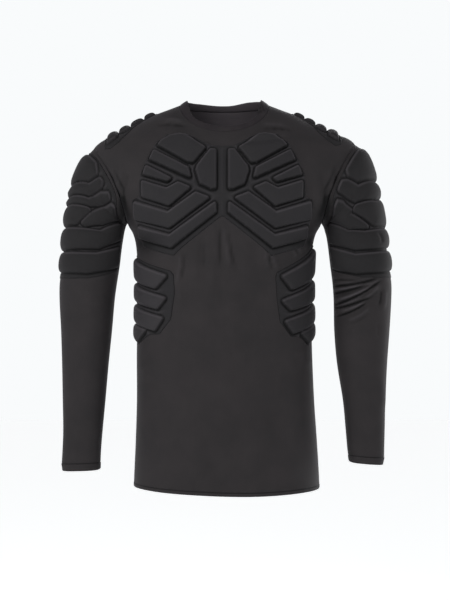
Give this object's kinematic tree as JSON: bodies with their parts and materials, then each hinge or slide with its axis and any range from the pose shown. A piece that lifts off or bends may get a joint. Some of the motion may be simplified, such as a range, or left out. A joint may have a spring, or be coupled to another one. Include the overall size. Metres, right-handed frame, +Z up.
{
  "type": "long sleeve t-shirt",
  "caption": "Close-fitting long-sleeved sports shirt with sewn-on foam cells over the chest, ribs, shoulders and upper arms, filled out as worn.",
  "frame": {"origin": "midway between the shoulders, at the height where the shoulder seams meet the neckband, inside the neck opening", "axes": "+Z up towards the neck, the garment's front faces -Y, +X towards the wearer's left"},
  "size_m": [0.6208, 0.24, 0.716],
  "materials": {
    "cloth": "knitted stretch cloth, charcoal, slight sheen",
    "pad_cloth": "knitted stretch cloth over foam, charcoal, slight sheen"
  },
  "bodies": {
    "root": {"front": "cloth", "back": "cloth", "sleeve_left": "cloth", "sleeve_right": "cloth", "neckband": "cloth", "chest_pad": "pad_cloth", "rib_pad_left": "pad_cloth", "rib_pad_right": "pad_cloth", "upper_arm_pad_left": "pad_cloth", "upper_arm_pad_right": "pad_cloth", "shoulder_pad_left": "pad_cloth", "shoulder_pad_right": "pad_cloth"}
  },
  "joints": []
}
